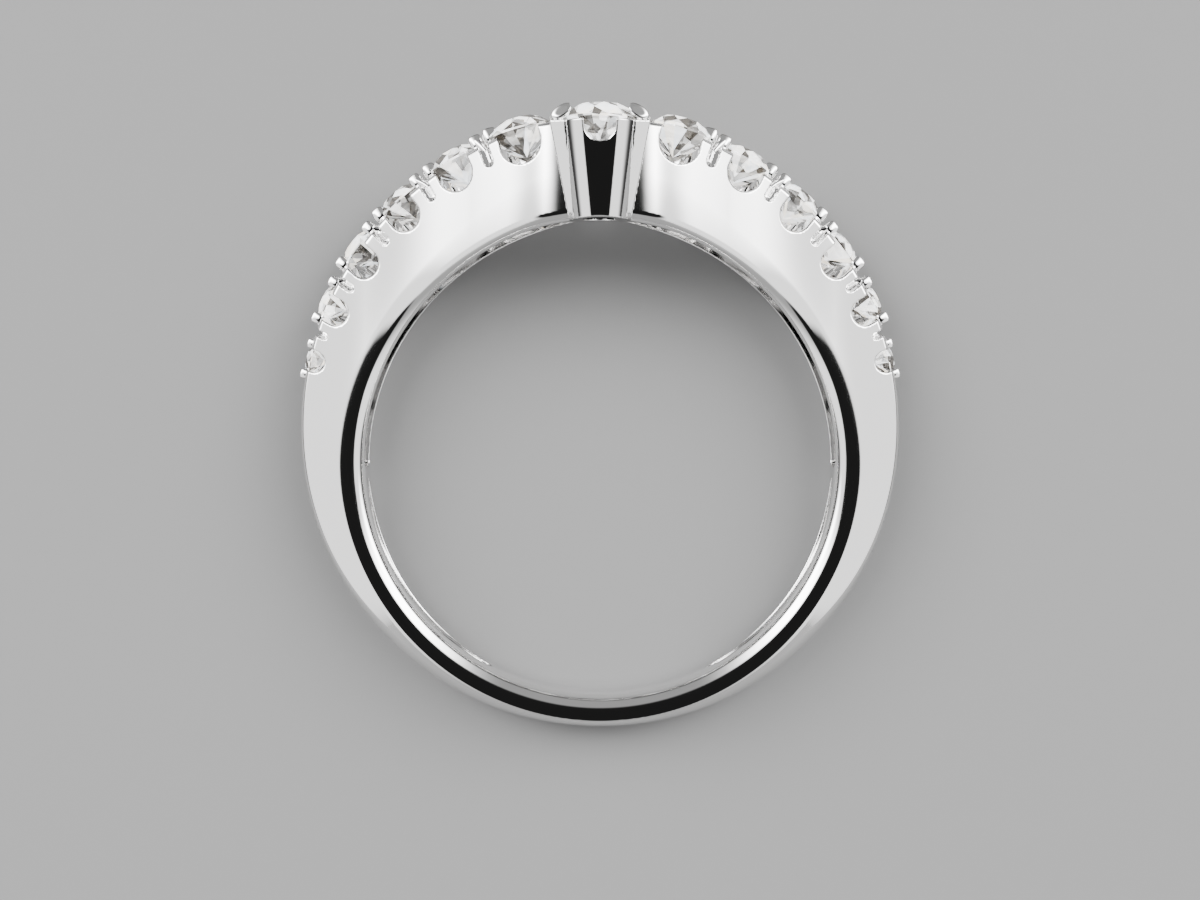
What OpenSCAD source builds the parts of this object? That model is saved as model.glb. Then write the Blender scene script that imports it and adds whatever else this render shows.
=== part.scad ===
// Chevron ring, lying on its side: the finger hole's axis is +Z, the head points to +Y and the
// point of the chevron rises to +Z. Millimetres, with the back of the shank on z = 0.

/* [Finger hole and outline] */
// Radius of the finger hole
bore_r = 8.65; // [8.5:0.05:8.8]
// Radius of the round outer outline
outline_r = 11.1; // [11.05:0.01:11.2]
// How far the centre of the outline sits towards the head
outline_shift = 1.19; // [1.1:0.01:1.25]

/* [Band] */
// Width of the shank along the finger
shank_w = 2.5; // [2.3:0.1:2.7]
// Extra width of the band at the head
head_widening = 0.7; // [0.5:0.1:0.8]
// Width of the outer crest on the shank
shank_crest_w = 1.24; // [1.1:0.02:1.3]
// Extra width of the crest at the head, where the stones are largest
head_crest_widening = 1.72; // [1.6:0.02:1.8]
// Radius from the finger's axis to the crease between rim and flank, on the shank
crease_r = 9.63; // [9.6:0.01:9.7]
// How much nearer the finger the crease runs at the head
crease_drop = 0.58; // [0.5:0.02:0.6]
// Height of the rounded inner edge, on the shank
comfort_edge = 0.52; // [0.45:0.01:0.55]
// How much lower the rounded inner edge is at the head
comfort_edge_drop = 0.36; // [0.3:0.02:0.4]

/* [Chevron] */
// Rise of the point over the shank, along the finger
chevron_rise = 3.6; // [3:0.1:4]
// Distance of the long bends between arms and shank from the middle of the ring
bend_x = 6.65; // [6.4:0.05:7]
// Narrowing of each flank beside the collet
neck_pinch = 0.55; // [0.4:0.05:0.6]

/* [Hollows] */
// Thickness of the rails beside the hollows
rail_w = 0.5; // [0.45:0.05:0.55]
// Thickness of metal between the crest and the long hollows
roof_thickness = 1.25; // [1.2:0.05:1.3]
// Depth of the pockets in the lower half at their upper end
pocket_depth = 0.7; // [0.5:0.05:0.75]
// Depth of the pockets at their lower end
pocket_end_depth = 0.25; // [0.2:0.05:0.3]

/* [Collet] */
// Radius of the collet at its rim
collet_top_r = 1.69; // [1.65:0.01:1.75]
// Radius of the collet where it meets the finger hole
collet_base_r = 1.08; // [1.05:0.01:1.15]
// Height of the collet's rim over the finger's axis
collet_rim_y = 12.08; // [12:0.02:12.12]
// Radius of the collet's claws
collet_claw_r = 0.33; // [0.3:0.01:0.35]
// Radius of the U-shaped notches in the collet's front and back
collet_notch_r = 0.56; // [0.54:0.01:0.58]

/* [Stones] */
// Diameter of the centre stone
center_d = 2.85; // [2.8:0.05:2.9]
// Height of the centre stone's girdle over the finger's axis
center_girdle_y = 12.22; // [12.2:0.01:12.25]
// Clear gap between a stone and the metal
stone_gap = 0.03; // [0.02:0.005:0.04]

/* [Hidden] */
$fn = 48;

// The side stones, counted from the head
// angle from the head, diameter, radius of the girdle, radius of the scallop's floor, radius of its
// round, turn of the scallop out of the finger's direction. Places are from the outline's centre
SIDE_STONES = [
    [15.1, 2.35, 11.20, 9.85, 0.78, 5],
    [28.4, 2.15, 11.21, 10.00, 0.69, 10],
    [41.2, 1.98, 11.22, 10.02, 0.60, 12],
    [53.2, 1.75, 11.19, 10.06, 0.53, 18],
    [64.9, 1.55, 11.11, 10.19, 0.48, 16],
    [76.5, 1.20, 11.00, 10.46, 0.40, 5]
];
function angle_of(stone) = stone[0];
function size_of(stone) = stone[1];
function girdle_of(stone) = stone[2];
function floor_of(stone) = stone[3];
function round_of(stone) = stone[4];
function turn_of(stone) = stone[5];

// Brilliant cut, as shares of the stone's diameter
TABLE = 0.52;
CROWN = 0.185;
STAR = 0.77;
GIRDLE = 0.03;
PAVILION = 0.43;

METAL = "#d5d6d9";
STONE = "#eaf2f7";

// Half the length of a rounded bend, and the slope of the arms
bend_half = bore_r - bend_x;
slope = chevron_rise / bend_x;
// Metal left inside the finger hole before it is bored
stock = 0.3;
// Sections of the band round the ring
station_step = 5;
station_count = 72;
// Reach of the narrowing beside the collet, along the band
neck_reach = 1.6;
// Angles from the head of the ends of the pockets, and how far the long hollows pass the widest place
pocket_start = 93.5;
pocket_end = 153;
hollow_below = 0.23;
// Where the long hollows start beside the middle, and where they are fully wide
hollow_tip_x = 0.12;
hollow_full_x = 2.2;
// Angle of a side stone's claws out of the band's direction
claw_lean = 27;
// How much shallower the scallops at the back are, and how far the cuts for both reach out
back_scallop_rise = 0.6;
scallop_reach = 4;
// Radius of the open back of a seat, as a share of the stone's diameter, and its depth
SEAT_HOLE = 0.38;
seat_hole_depth = 1.8;
// Feet and tips of the collet's claws, along the band and along the finger, and the hole in the collet
collet_foot = [0.84, 0.45];
collet_tip = [1.32, 0.7];
collet_hole_r = 0.62;
reach = 30;

// Rise of the middle of the band at a distance x from the middle of the ring, with rounded bends
function rise(x) = let (a = abs(x))
    a >= bend_x + bend_half ? 0
    : a <= bend_x - bend_half ? slope * (bend_x - a)
    : slope * pow(bend_x + bend_half - a, 2) / (4 * bend_half);

// Share of the head in a section, at an angle from the head: 1 at the head, 0 on the shank
function headward(t) = max(cos(t), 0);
function upper(t) = cos(t) > 0.001;

function outline_at(t) = outline_shift * cos(t) + sqrt(pow(outline_r, 2) - pow(outline_shift * sin(t), 2));
function pinch_at(t) = upper(t) ? neck_pinch * exp(-pow(bore_r * sin(t) / neck_reach, 2)) : 0;
function full_half(t) = shank_w / 2 + head_widening / 2 * pow(headward(t), 2);
function rim_half(t) = full_half(t) - pinch_at(t);
function crest_half(t) = shank_crest_w / 2 + head_crest_widening / 2 * pow(headward(t), 2) - pinch_at(t);
function middle_z(t, x) = full_half(t) + (upper(t) ? rise(x) : 0);

// A point of the ring at a radius and angle, and a height from the middle of the band
function ring_point(t, r, z) = [r * sin(t), r * cos(t), middle_z(t, r * sin(t)) + z];

function toward(from, to, length) = from + (to - from) * length / norm(to - from);

// Three points that round the corner between two others
function rounded_corner(before, corner, after, length) = let (
    p = toward(corner, before, length),
    q = toward(corner, after, length)
) [p, (p + q + 2 * corner) / 4, q];

// Front half of the band's section, from the finger hole to the crest, as radius and height
function half_section(t) = let (
    edge = comfort_edge - comfort_edge_drop * headward(t),
    edge_z = edge + 0.08,
    crease = [crease_r - crease_drop * headward(t), rim_half(t)],
    crest = [outline_at(t), crest_half(t)],
    rounding = min(0.16 + 0.5 * pow(max(-cos(t + 15), -cos(t - 15), 0), 2), 0.4 * norm(crest - crease))
) concat(
    [[bore_r - stock, rim_half(t) - edge_z]],
    [for (a = [0, 30, 60, 90])
        [bore_r + edge - (edge + 0.04) * cos(a), rim_half(t) - edge_z * (1 - sin(a))]],
    [crease],
    rounded_corner(crease, crest, [crest[0], 0], rounding)
);

function mirrored(section) = [for (i = [len(section) - 1:-1:0]) [section[i][0], -section[i][1]]];

// Skins a list of sections, each a list of points, into one solid
module skin(sections, closed) {
    n = len(sections);
    m = len(sections[0]);
    spans = closed ? n : n - 1;
    sides = [for (i = [0:spans - 1], j = [0:m - 1]) let (
        a = i * m + j,
        b = i * m + (j + 1) % m,
        c = ((i + 1) % n) * m + (j + 1) % m,
        d = ((i + 1) % n) * m + j
    ) each [[a, b, c], [a, c, d]]];
    caps = closed ? [] : [[for (j = [m - 1:-1:0]) j], [for (j = [0:m - 1]) (n - 1) * m + j]];
    polyhedron(points = [for (s = sections) each s], faces = concat(sides, caps), convexity = 8);
}

module blank() {
    skin([for (i = [0:station_count - 1]) let (
        t = i * station_step,
        half = half_section(t)
    ) [for (p = concat(half, mirrored(half))) ring_point(t, p[0], p[1])]], true);
}

module finger_hole() {
    cylinder(h = reach, r = bore_r, center = true);
}

// Half width of a long hollow at a distance x from the middle, and the height of its middle
function hollow_share(x) = max(1 - pow(x / (bore_r + 1), 2), 0);
function hollow_half(x) = let (full = shank_w / 2 + head_widening / 2 * hollow_share(x) - rail_w)
    x < hollow_full_x ? 0.1 + (full - 0.1) * (x - hollow_tip_x) / (hollow_full_x - hollow_tip_x) : full;
function hollow_z(x) = shank_w / 2 + head_widening / 2 * hollow_share(x) + rise(x);

// The long hollow scooped from the inside of one arm. Its roof follows the outline
module arm_hollow() {
    places = concat(
        [hollow_tip_x, hollow_full_x, 3.5],
        [for (i = [-3:3]) bend_x + bend_half * i / 3],
        [outline_r]
    );
    last = len(places) - 1;
    intersection() {
        translate([0, outline_shift, 0])
            cylinder(h = reach, r = outline_r - roof_thickness, center = true);
        translate([0, outline_r, 0])
            rotate([90, 0, 0])
                linear_extrude(height = outline_r + hollow_below)
                    polygon(concat(
                        [for (x = places) [x, hollow_z(x) - hollow_half(x)]],
                        [for (i = [last:-1:0]) [places[i], hollow_z(places[i]) + hollow_half(places[i])]]
                    ));
    }
}

// The shallower pocket in one side of the lower half, from its upper end to its lower end
module lower_pocket() {
    shift = (pocket_depth - pocket_end_depth) / (cos(pocket_start) - cos(pocket_end));
    intersection() {
        translate([0, shift, 0])
            cylinder(h = reach, r = bore_r + pocket_depth - shift * cos(pocket_start), center = true);
        translate([0, 0, rail_w])
            linear_extrude(height = shank_w - 2 * rail_w)
                polygon([
                    [0, 0],
                    [reach * sin(pocket_end), reach * cos(pocket_end)],
                    [reach * sin(pocket_start), reach * cos(pocket_start)]
                ]);
    }
}

// Moves to a place on the outline: X runs along the band, Y outward, Z along the finger
module on_outline(side, angle, radius) {
    x = radius * sin(angle);
    t = atan2(x, outline_shift + radius * cos(angle));
    translate([side * x, outline_shift + radius * cos(angle), middle_z(t, x)])
        rotate([0, 0, -side * angle])
            children();
}

// A round bar between two points, with a ball on its outer end, both turned about the bar's axis
module claw(from, to, r, turn = 0) {
    span = to - from;
    along = [0, acos(span[2] / norm(span)), atan2(span[1], span[0])];
    translate(from)
        rotate(along)
            rotate([0, 0, turn])
                cylinder(h = norm(span), r = r);
    translate(to)
        rotate(along)
            rotate([0, 0, turn])
                sphere(r);
}

// Height of the ends of a stone's star facets above the middle of its girdle
function star_height(d) = CROWN * d
    + (GIRDLE / 2 - CROWN) * d * (STAR * cos(22.5) - TABLE) / (1 - TABLE);

// The room that a stone needs in the metal, its axis along Y
module stone_room(d) {
    rotate([-90, 0, 0])
        rotate_extrude()
            polygon([
                [0, -PAVILION * d - stone_gap * 1.4],
                [d / 2 + stone_gap, -GIRDLE * d / 2 - stone_gap / 2],
                [d / 2 + stone_gap, GIRDLE * d / 2 + stone_gap / 2],
                [STAR * d / 2 + stone_gap, star_height(d) + stone_gap],
                [TABLE * d / 2 + stone_gap, CROWN * d + stone_gap],
                [0, CROWN * d + stone_gap]
            ]);
}

// Four claws round a side stone
module side_claws(d) {
    r = 0.085 * d + 0.03;
    reach = d / 2 + 0.08;
    for (sx = [-1, 1], sz = [-1, 1])
        claw(
            [sx * reach * cos(claw_lean), -0.6, sz * reach * sin(claw_lean)],
            [sx * reach * cos(claw_lean), 0.14 * d - r + 0.04, sz * reach * sin(claw_lean)],
            r,
            atan2(-sx * cos(claw_lean), -sz * sin(claw_lean))
        );
}

// The scallops in both flanks beside a side stone, the one at the back shallower
module scallops(stone, side) {
    rotate([0, side * turn_of(stone), 0])
        translate([0, floor_of(stone) + round_of(stone) - girdle_of(stone), 0]) {
            cylinder(h = scallop_reach, r = round_of(stone));
            translate([0, back_scallop_rise, -scallop_reach])
                cylinder(h = 2 * scallop_reach, r = round_of(stone));
        }
}

// The open back of a side stone's seat
module seat_hole(d) {
    rotate([90, 0, 0])
        cylinder(h = seat_hole_depth, r = SEAT_HOLE * d);
}

// The tapered collet with its four claws
module collet() {
    translate([0, 0, middle_z(0, 0)]) {
        translate([0, bore_r - stock, 0])
            rotate([-90, 0, 0])
                cylinder(h = collet_rim_y - bore_r + stock, r1 = collet_base_r, r2 = collet_top_r);
        for (sx = [-1, 1], sz = [-1, 1])
            claw(
                [sx * collet_foot[0], bore_r - stock / 2, sz * collet_foot[1]],
                [sx * collet_tip[0], center_girdle_y + 0.1, sz * collet_tip[1]],
                collet_claw_r
            );
    }
}

// What is cut from the collet: the stone's room, the hole below it and the notches through its wall
module collet_cuts() {
    notch_y = collet_rim_y - 0.21;
    translate([0, 0, middle_z(0, 0)]) {
        translate([0, center_girdle_y, 0])
            stone_room(center_d);
        translate([0, bore_r - 1, 0])
            rotate([-90, 0, 0])
                cylinder(h = 3, r = collet_hole_r);
        translate([0, notch_y, 0])
            cylinder(h = 8, r = collet_notch_r, center = true);
        translate([-collet_notch_r, notch_y, -4])
            cube([2 * collet_notch_r, 1, 8]);
    }
}

// The bent hoop with its scallops, the finger hole and the hollows
module hoop() {
    difference() {
        difference() {
            blank();
            for (side = [-1, 1], stone = SIDE_STONES)
                on_outline(side, angle_of(stone), girdle_of(stone))
                    scallops(stone, side);
        }
        finger_hole();
        arm_hollow();
        mirror([1, 0, 0])
            arm_hollow();
        lower_pocket();
        mirror([1, 0, 0])
            lower_pocket();
    }
}

module band() {
    color(METAL)
        difference() {
            difference() {
                difference() {
                    union() {
                        hoop();
                        difference() {
                            collet();
                            finger_hole();
                        }
                        for (side = [-1, 1], stone = SIDE_STONES)
                            on_outline(side, angle_of(stone), girdle_of(stone))
                                side_claws(size_of(stone));
                    }
                    for (side = [-1, 1], stone = SIDE_STONES)
                        on_outline(side, angle_of(stone), girdle_of(stone))
                            stone_room(size_of(stone));
                }
                for (side = [-1, 1], stone = SIDE_STONES)
                    on_outline(side, angle_of(stone), girdle_of(stone))
                        seat_hole(size_of(stone));
            }
            collet_cuts();
        }
}

// A round brilliant: table, crown, girdle and pavilion facets, its table facing +Y
module brilliant(d) {
    r = d / 2;
    table_r = TABLE * r;
    star_r = STAR * r;
    lower_r = 0.24 * r;
    crown_z = CROWN * d;
    girdle_z = GIRDLE * d / 2;
    culet_z = -PAVILION * d;
    star_z = star_height(d);
    lower_z = culet_z - (culet_z + girdle_z) * lower_r * cos(22.5) / r;
    points = concat(
        [for (k = [0:7]) [table_r * cos(45 * k), table_r * sin(45 * k), crown_z]],
        [for (k = [0:7]) [star_r * cos(45 * k + 22.5), star_r * sin(45 * k + 22.5), star_z]],
        [for (j = [0:15]) [r * cos(22.5 * j), r * sin(22.5 * j), girdle_z]],
        [for (j = [0:15]) [r * cos(22.5 * j), r * sin(22.5 * j), -girdle_z]],
        [for (k = [0:7]) [lower_r * cos(45 * k + 22.5), lower_r * sin(45 * k + 22.5), lower_z]],
        [[0, 0, culet_z]]
    );
    star = 8;
    top = 16;
    bottom = 32;
    lower = 48;
    culet = 56;
    table_face = [[for (k = [7:-1:0]) k]];
    stars = [for (k = [0:7]) [k, (k + 1) % 8, star + k]];
    kites = [for (k = [0:7]) [k, star + k, top + 2 * k, star + (k + 7) % 8]];
    upper_girdles = [for (k = [0:7]) each [
        [star + k, top + (2 * k + 1) % 16, top + 2 * k],
        [star + k, top + (2 * k + 2) % 16, top + (2 * k + 1) % 16]
    ]];
    girdles = [for (j = [0:15]) [top + j, top + (j + 1) % 16, bottom + (j + 1) % 16, bottom + j]];
    lower_girdles = [for (k = [0:7]) each [
        [lower + k, bottom + 2 * k, bottom + (2 * k + 1) % 16],
        [lower + k, bottom + (2 * k + 1) % 16, bottom + (2 * k + 2) % 16]
    ]];
    mains = [for (k = [0:7]) [culet, lower + (k + 7) % 8, bottom + 2 * k, lower + k]];
    color(STONE)
        rotate([-90, 0, 0])
            rotate([0, 0, 11.25])
                polyhedron(
                    points = points,
                    faces = concat(table_face, stars, kites, upper_girdles, girdles, lower_girdles, mains),
                    convexity = 2
                );
}

module center_stone() {
    translate([0, center_girdle_y, middle_z(0, 0)])
        brilliant(center_d);
}

module side_stone(side, index) {
    stone = SIDE_STONES[index - 1];
    on_outline(side, angle_of(stone), girdle_of(stone))
        brilliant(size_of(stone));
}

band();
center_stone();
side_stone(-1, 1);  // left_stone_1
side_stone(-1, 2);  // left_stone_2
side_stone(-1, 3);  // left_stone_3
side_stone(-1, 4);  // left_stone_4
side_stone(-1, 5);  // left_stone_5
side_stone(-1, 6);  // left_stone_6
side_stone(1, 1);  // right_stone_1
side_stone(1, 2);  // right_stone_2
side_stone(1, 3);  // right_stone_3
side_stone(1, 4);  // right_stone_4
side_stone(1, 5);  // right_stone_5
side_stone(1, 6);  // right_stone_6
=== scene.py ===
"""Looks of the chevron ring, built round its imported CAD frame.

The band's metal is one implicit solid, meshed finely with its true normals, because a polished
surface shows every facet. The side claws are repeated by Geometry Nodes, and the cut stones keep
their CAD facets. Lengths inside the shape classes are millimetres; meshes are made in metres.
"""

import logging
import math
from dataclasses import dataclass
from enum import Enum
from itertools import product
from typing import Callable, Optional, Sequence, Tuple, Union

import bpy
import numpy as np
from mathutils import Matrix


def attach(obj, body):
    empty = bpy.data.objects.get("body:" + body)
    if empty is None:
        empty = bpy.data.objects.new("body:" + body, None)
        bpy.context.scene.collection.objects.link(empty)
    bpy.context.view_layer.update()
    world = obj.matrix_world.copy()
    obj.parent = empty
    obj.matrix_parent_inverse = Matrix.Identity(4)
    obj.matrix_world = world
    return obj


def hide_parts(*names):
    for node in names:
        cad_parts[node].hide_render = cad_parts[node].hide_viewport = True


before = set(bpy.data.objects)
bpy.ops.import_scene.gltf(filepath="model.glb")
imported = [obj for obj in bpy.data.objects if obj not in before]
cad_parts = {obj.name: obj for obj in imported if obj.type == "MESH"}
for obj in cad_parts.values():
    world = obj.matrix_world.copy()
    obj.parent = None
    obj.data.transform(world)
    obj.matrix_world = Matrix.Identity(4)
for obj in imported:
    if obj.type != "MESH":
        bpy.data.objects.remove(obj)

import openvdb
from mathutils import Vector

log = logging.getLogger("chevron_ring")

MM = 0.001
TINY = 1e-9

Array = np.ndarray
Color = Tuple[float, float, float]
Point = Tuple[float, float, float]
Range = Tuple[float, float]
Value = Union["Wire", float]


class Side(Enum):
    """The side of a stone along the band. The value is its sign."""

    HEAD = -1
    FOOT = 1


class Face(Enum):
    """The face of the ring. The value is its sign along the finger."""

    FRONT = 1
    BACK = -1


@dataclass(frozen=True)
class Seat:
    """One side stone's place on the right arm.

    Attributes:
        angle: Degrees from the head, round the centre of the outline.
        diameter: The stone's diameter.
        girdle: Distance of its girdle from the centre of the outline.
        floor: Distance of its scallop's floor from the same centre.
        round: Radius of the scallop.
        turn: Turn of the scallop out of the finger's direction, in degrees.
        edge: Rounding of its scallop's edge.
    """

    angle: float
    diameter: float
    girdle: float
    floor: float
    round: float
    turn: float
    edge: float


@dataclass(frozen=True)
class RingSize:
    """Driving dimensions in millimetres and degrees.

    They are the CAD's, but for a deeper and longer neck, wider claws at the collet and the rounded
    edges.
    """

    bore_r: float = 8.65
    outline_r: float = 11.1
    outline_shift: float = 1.19
    shank_w: float = 2.5
    head_widening: float = 0.7
    shank_crest_w: float = 1.24
    head_crest_widening: float = 1.72
    crease_r: float = 9.63
    crease_drop: float = 0.58
    comfort_edge: float = 0.58
    comfort_edge_drop: float = 0.18
    crest_rounding: float = 0.16
    low_crest_rounding: float = 0.5
    low_crest_turn: float = 0.26
    most_rounding_share: float = 0.4
    edge_rounding: float = 0.05
    head_softness: float = 0.01
    chevron_rise: float = 3.6
    bend_x: float = 6.65
    neck_pinch: float = 1.12
    neck_reach: float = 1.85
    rail_w: float = 0.5
    roof_thickness: float = 1.25
    pocket_start: float = 93.5
    pocket_end: float = 153.0
    pocket_depth: float = 0.7
    pocket_end_depth: float = 0.25
    pocket_end_power: int = 5
    pocket_lens_power: float = 0.7
    pocket_corner: float = 0.2
    hollow_below: float = 0.23
    hollow_tip_x: float = 0.12
    hollow_full_x: float = 2.2
    hollow_tip_power: float = 1.7
    hollow_corner: float = 0.3
    hollow_end_corner: float = 0.25
    collet_top_r: float = 1.69
    collet_base_r: float = 1.08
    collet_rim_y: float = 12.08
    collet_claw_r: float = 0.36
    collet_foot_r: float = 0.17
    claw_face_turn: float = 14.0
    claw_head_lean: float = 33.0
    collet_notch_r: float = 0.56
    collet_hole_r: float = 0.62
    center_d: float = 2.85
    center_girdle_y: float = 12.22
    stone_gap: float = 0.03
    back_scallop_rise: float = 0.6
    seat_hole: float = 0.38

    @property
    def bend_half(self) -> float:
        """Half the length of a rounded bend."""
        return self.bore_r - self.bend_x

    @property
    def slope(self) -> float:
        """Slope of the chevron's arms."""
        return self.chevron_rise / self.bend_x

    @property
    def head_middle(self) -> float:
        """Height of the band's middle at the head."""
        return (self.shank_w + self.head_widening) / 2 + self.chevron_rise


SIZE = RingSize()

SEATS: Tuple[Seat, ...] = (
    Seat(15.1, 2.35, 11.20, 9.85, 0.78, 5, 0.05),
    Seat(28.4, 2.15, 11.21, 10.00, 0.69, 10, 0.06),
    Seat(41.2, 1.98, 11.22, 10.02, 0.60, 12, 0.07),
    Seat(53.2, 1.75, 11.19, 10.06, 0.53, 18, 0.07),
    Seat(64.9, 1.55, 11.11, 10.19, 0.48, 16, 0.07),
    Seat(76.5, 1.20, 11.00, 10.46, 0.40, 5, 0.06),
)

# Depth of a stone below its girdle and height of the girdle, as shares of its diameter.
PAVILION = 0.43
GIRDLE = 0.03
# Gap at a stone's point over the gap at its side.
POINT_GAP = 1.4


def round_max(a: Array, b: Array, radius: Union[float, Array]) -> Array:
    """Intersection of two solids, its edge rounded.

    Args:
        a: Signed distances to the first solid.
        b: Signed distances to the second solid.
        radius: Radius of the rounded edge.

    Returns:
        Signed distances to what both hold.
    """
    inner = np.minimum(np.maximum(a, b), -radius)
    return inner + np.hypot(np.maximum(a + radius, 0), np.maximum(b + radius, 0))


def round_min(a: Array, b: Array, radius: float) -> Array:
    """Union of two solids, its inner corner filleted."""
    return -round_max(-a, -b, radius)


def cut(solid: Array, tool: Array, radius: float) -> Array:
    """What is left of a solid after a tool, the new edge rounded."""
    return round_max(solid, -tool, radius)


def bar(x: Array, y: Array, z: Array, start: Point, end: Point, r0: float, r1: float) -> Array:
    """A bar with ball ends, tapering from one radius to another.

    Args:
        x, y, z: The points.
        start, end: Centres of the balls.
        r0, r1: Radii of the balls.

    Returns:
        Signed distances.
    """
    sx, sy, sz = start
    dx, dy, dz = (e - s for s, e in zip(start, end))
    share = ((x - sx) * dx + (y - sy) * dy + (z - sz) * dz) / (dx * dx + dy * dy + dz * dz)
    share = np.clip(share, 0, 1)
    ax, ay, az = x - sx - dx * share, y - sy - dy * share, z - sz - dz * share
    return np.sqrt(ax**2 + ay**2 + az**2) - r0 - (r1 - r0) * share


def stone_room(across: Array, along: Array, diameter: float) -> Array:
    """The room of a stone, open towards its table.

    Args:
        across: Distances from the stone's axis.
        along: Heights over its girdle.
        diameter: The stone's diameter.

    Returns:
        Signed distances.
    """
    reach = diameter / 2 + SIZE.stone_gap
    depth = PAVILION * diameter + SIZE.stone_gap * POINT_GAP
    level = GIRDLE * diameter / 2 + SIZE.stone_gap / 2
    drop = depth - level
    cone = (across * drop - (along + depth) * reach) / math.hypot(drop, reach)
    return np.maximum(cone, across - reach)


@dataclass(frozen=True)
class Place:
    """A frame on the outline: u along the band, v outward, w along the finger."""

    angle: float
    radius: float

    @property
    def xyz(self) -> Point:
        """The frame's origin."""
        a = math.radians(self.angle)
        x = self.radius * math.sin(a)
        y = SIZE.outline_shift + self.radius * math.cos(a)
        return x, y, float(Hoop.middle(np.array([x]), np.array([y]))[0])

    def local(self, x: Array, y: Array, z: Array) -> Tuple[Array, Array, Array]:
        """Coordinates of points in this frame.

        Args:
            x, y, z: The points in the ring's frame.

        Returns:
            Their u, v and w.
        """
        ox, oy, oz = self.xyz
        c, s = math.cos(math.radians(self.angle)), math.sin(math.radians(self.angle))
        return (x - ox) * c - (y - oy) * s, (x - ox) * s + (y - oy) * c, z - oz


class Hoop:
    """The bent hoop without its cuts, for the right half (x from 0 up)."""

    @staticmethod
    def headward(cosine: Array) -> Array:
        """1 at the head and 0 on the shank, with a soft start."""
        return 0.5 * (cosine + np.sqrt(cosine**2 + SIZE.head_softness))

    @staticmethod
    def rise(x: Array) -> Tuple[Array, Array]:
        """How far the chevron lifts the band's middle, with a rounded bend on each side.

        Args:
            x: Distances from the middle of the ring.

        Returns:
            The rise and its slope.
        """
        w, x0, m = SIZE.bend_half, SIZE.bend_x, SIZE.slope
        rest = np.clip(x0 + w - x, 0, 2 * w)
        bend = m * rest**2 / (4 * w)
        arm = m * np.maximum(x0 - w - x, 0)
        return bend + arm, m * rest / (2 * w)

    @staticmethod
    def pinch(x: Array) -> Array:
        """How much the band narrows on each face beside the collet."""
        return SIZE.neck_pinch * np.exp(-((x / SIZE.neck_reach) ** 2))

    @classmethod
    def full_half(cls, cosine: Array) -> Array:
        """Half the band's width along the finger."""
        return SIZE.shank_w / 2 + SIZE.head_widening / 2 * cls.headward(cosine) ** 2

    @classmethod
    def middle(cls, x: Array, y: Array) -> Array:
        """Height of the band's middle."""
        cosine = y / np.hypot(x, y)
        return cls.full_half(cosine) + np.where(y > 0, cls.rise(x)[0], 0)

    @classmethod
    def distance(cls, x: Array, y: Array, z: Array) -> Array:
        """The hoop: faces that follow its middle, and flanks that lean in to a narrower crest.

        Args:
            x, y, z: The points.

        Returns:
            Signed distances.
        """
        r = np.hypot(x, y)
        cosine, sine = y / r, x / r
        head = cls.headward(cosine)
        rise, slope = cls.rise(x)
        above = y > 0
        slope = np.where(above, slope, 0)
        full = cls.full_half(cosine)
        offset = z - full - np.where(above, rise, 0)
        pinch = np.where(above, cls.pinch(x), 0)
        rim = full - pinch
        crest = SIZE.shank_crest_w / 2 + SIZE.head_crest_widening / 2 * head**2 - pinch
        crease = SIZE.crease_r - SIZE.crease_drop * head
        shift = SIZE.outline_shift
        outline = shift * cosine + np.sqrt(SIZE.outline_r**2 - (shift * sine) ** 2)
        side = np.abs(offset) - rim
        run, fall = outline - crease, rim - crest
        length = np.hypot(run, fall)
        nr, ns = fall / length, run / length
        tilt = nr**2 + ns**2 * (1 + slope**2) + 2 * nr * ns * np.sign(offset) * slope * sine
        flank = ((r - crease) * nr + side * ns) / np.sqrt(tilt)
        face = side / np.sqrt(1 + slope**2)
        angle = np.arccos(np.clip(cosine, -1, 1))
        low = np.maximum(np.maximum(-np.cos(angle - SIZE.low_crest_turn), -cosine), 0)
        rounding = SIZE.crest_rounding + SIZE.low_crest_rounding * low**2
        rounding = np.minimum(rounding, SIZE.most_rounding_share * length)
        outer = round_max(face, round_max(flank, r - outline, rounding), SIZE.edge_rounding)
        edge = SIZE.comfort_edge - SIZE.comfort_edge_drop * head
        return round_max(outer, SIZE.bore_r - r, edge)


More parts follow.
